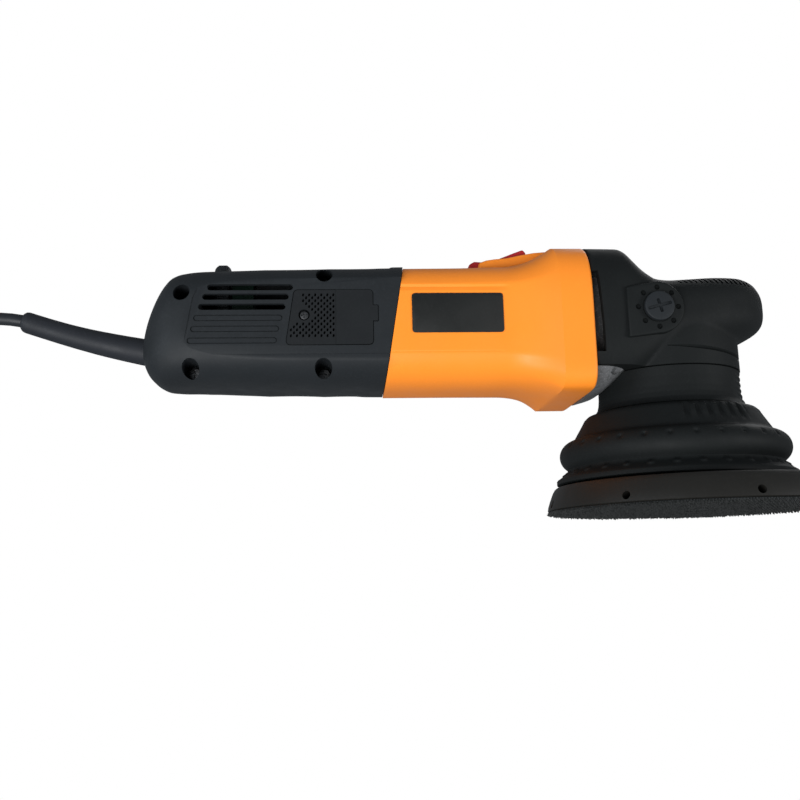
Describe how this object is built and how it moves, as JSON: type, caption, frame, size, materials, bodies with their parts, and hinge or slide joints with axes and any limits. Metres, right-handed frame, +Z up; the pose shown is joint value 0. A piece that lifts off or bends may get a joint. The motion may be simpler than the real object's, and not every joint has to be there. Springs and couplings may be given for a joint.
{
  "type": "dual action polisher",
  "caption": "Corded orbital polisher: long black handle, orange motor housing, rubber-covered gear head and a round hook-faced backing plate that orbits and spins freely.",
  "frame": {"origin": "on the drive spindle's axis, in the plane of the backing plate's hook face", "axes": "+X towards the nose, along the motor axis; +Z up along the spindle, away from the pad; +Y to the tool's left"},
  "size_m": [0.5434, 0.15, 0.1334],
  "materials": {
    "handle_black": "satin black, slightly blue, fine moulded texture",
    "housing_orange": "orange, satin gloss",
    "rubber_black": "matt black soft rubber",
    "switch_red": "red, satin",
    "label_black": "plain black film, nothing printed on it",
    "plate_urethane": "dark grey moulded urethane",
    "hook_nylon": "black hook pile",
    "steel": "bright zinc-plated steel",
    "dark_steel": "oiled dark steel",
    "cast_aluminium": "satin cast aluminium",
    "lamination_steel": "stacked steel sheet",
    "copper": "enamelled copper",
    "carbon": "pressed carbon",
    "brass": "plain brass",
    "fan_cream": "cream nylon",
    "board_green": "coated circuit board",
    "cord_black": "black rubber cord"
  },
  "bodies": {
    "tool": {"handle_shell_right": "handle_black", "handle_shell_left": "handle_black", "brush_cover_right": "handle_black", "brush_cover_left": "handle_black", "brush_cover_screw_right": "dark_steel", "brush_cover_screw_left": "dark_steel", "handle_screw_1": "dark_steel", "handle_screw_2": "dark_steel", "handle_screw_3": "dark_steel", "handle_screw_4": "dark_steel", "speed_controller": "board_green", "cord_guard": "rubber_black", "motor_housing": "housing_orange", "rating_label": "label_black", "switch_body": "handle_black", "field_core": "lamination_steel", "field_coil_upper": "copper", "field_coil_lower": "copper", "fan_baffle": "handle_black", "rear_motor_bearing": "steel", "front_motor_bearing": "steel", "carbon_brush_right": "carbon", "carbon_brush_left": "carbon", "brush_holder_right": "brass", "brush_holder_left": "brass", "gear_housing": "cast_aluminium", "head_cover": "rubber_black", "handle_plug_right": "handle_black", "handle_plug_left": "handle_black", "gear_housing_screw_1": "steel", "gear_housing_screw_2": "steel", "gear_housing_screw_3": "steel", "gear_housing_screw_4": "steel", "bearing_flange": "cast_aluminium", "spindle_bearing_lower": "steel", "spindle_bearing_upper": "steel", "neck_sleeve": "rubber_black", "shroud": "rubber_black", "power_cord": "cord_black", "cord_coil": "cord_black", "cord_tie": "handle_black", "plug": "cord_black", "plug_pin_1": "brass", "plug_pin_2": "brass"},
    "armature": {"armature_shaft": "steel", "armature_core": "lamination_steel", "commutator": "copper", "fan": "fan_cream", "pinion": "dark_steel"},
    "drive": {"crown_gear": "dark_steel", "spindle": "steel", "eccentric_counterweight": "dark_steel"},
    "pad": {"pad_bearing": "steel", "pad_hub": "steel", "pad_screw": "steel", "plate_top_disc": "dark_steel", "backing_plate": "plate_urethane", "hook_face": "hook_nylon"},
    "switch": {"switch_rocker": "switch_red"},
    "dial": {"speed_dial": "handle_black"}
  },
  "joints": [
    {"name": "drive_spin", "type": "hinge", "parent": "tool", "child": "drive", "pos_m": [0, 0, 0.06], "axis": [0, 0, 1], "continuous": true},
    {"name": "armature_spin", "type": "hinge", "parent": "tool", "child": "armature", "pos_m": [-0.1, 0, 0.0927], "axis": [1, 0, 0], "continuous": true},
    {"name": "pad_spin", "type": "hinge", "parent": "drive", "child": "pad", "pos_m": [0.0105, 0, 0.034], "axis": [0, 0, 1], "continuous": true},
    {"name": "switch_rock", "type": "hinge", "parent": "tool", "child": "switch", "pos_m": [-0.086, 0, 0.1215], "axis": [0, 1, 0], "range_deg": [0, 9]},
    {"name": "dial_turn", "type": "hinge", "parent": "tool", "child": "dial", "pos_m": [-0.2246, 0, 0.1152], "axis": [1, 0, 0], "range_deg": [0, 270]}
  ],
  "couplings": [
    {"joint": "armature_spin", "follows": "drive_spin", "ratio": -4}
  ]
}
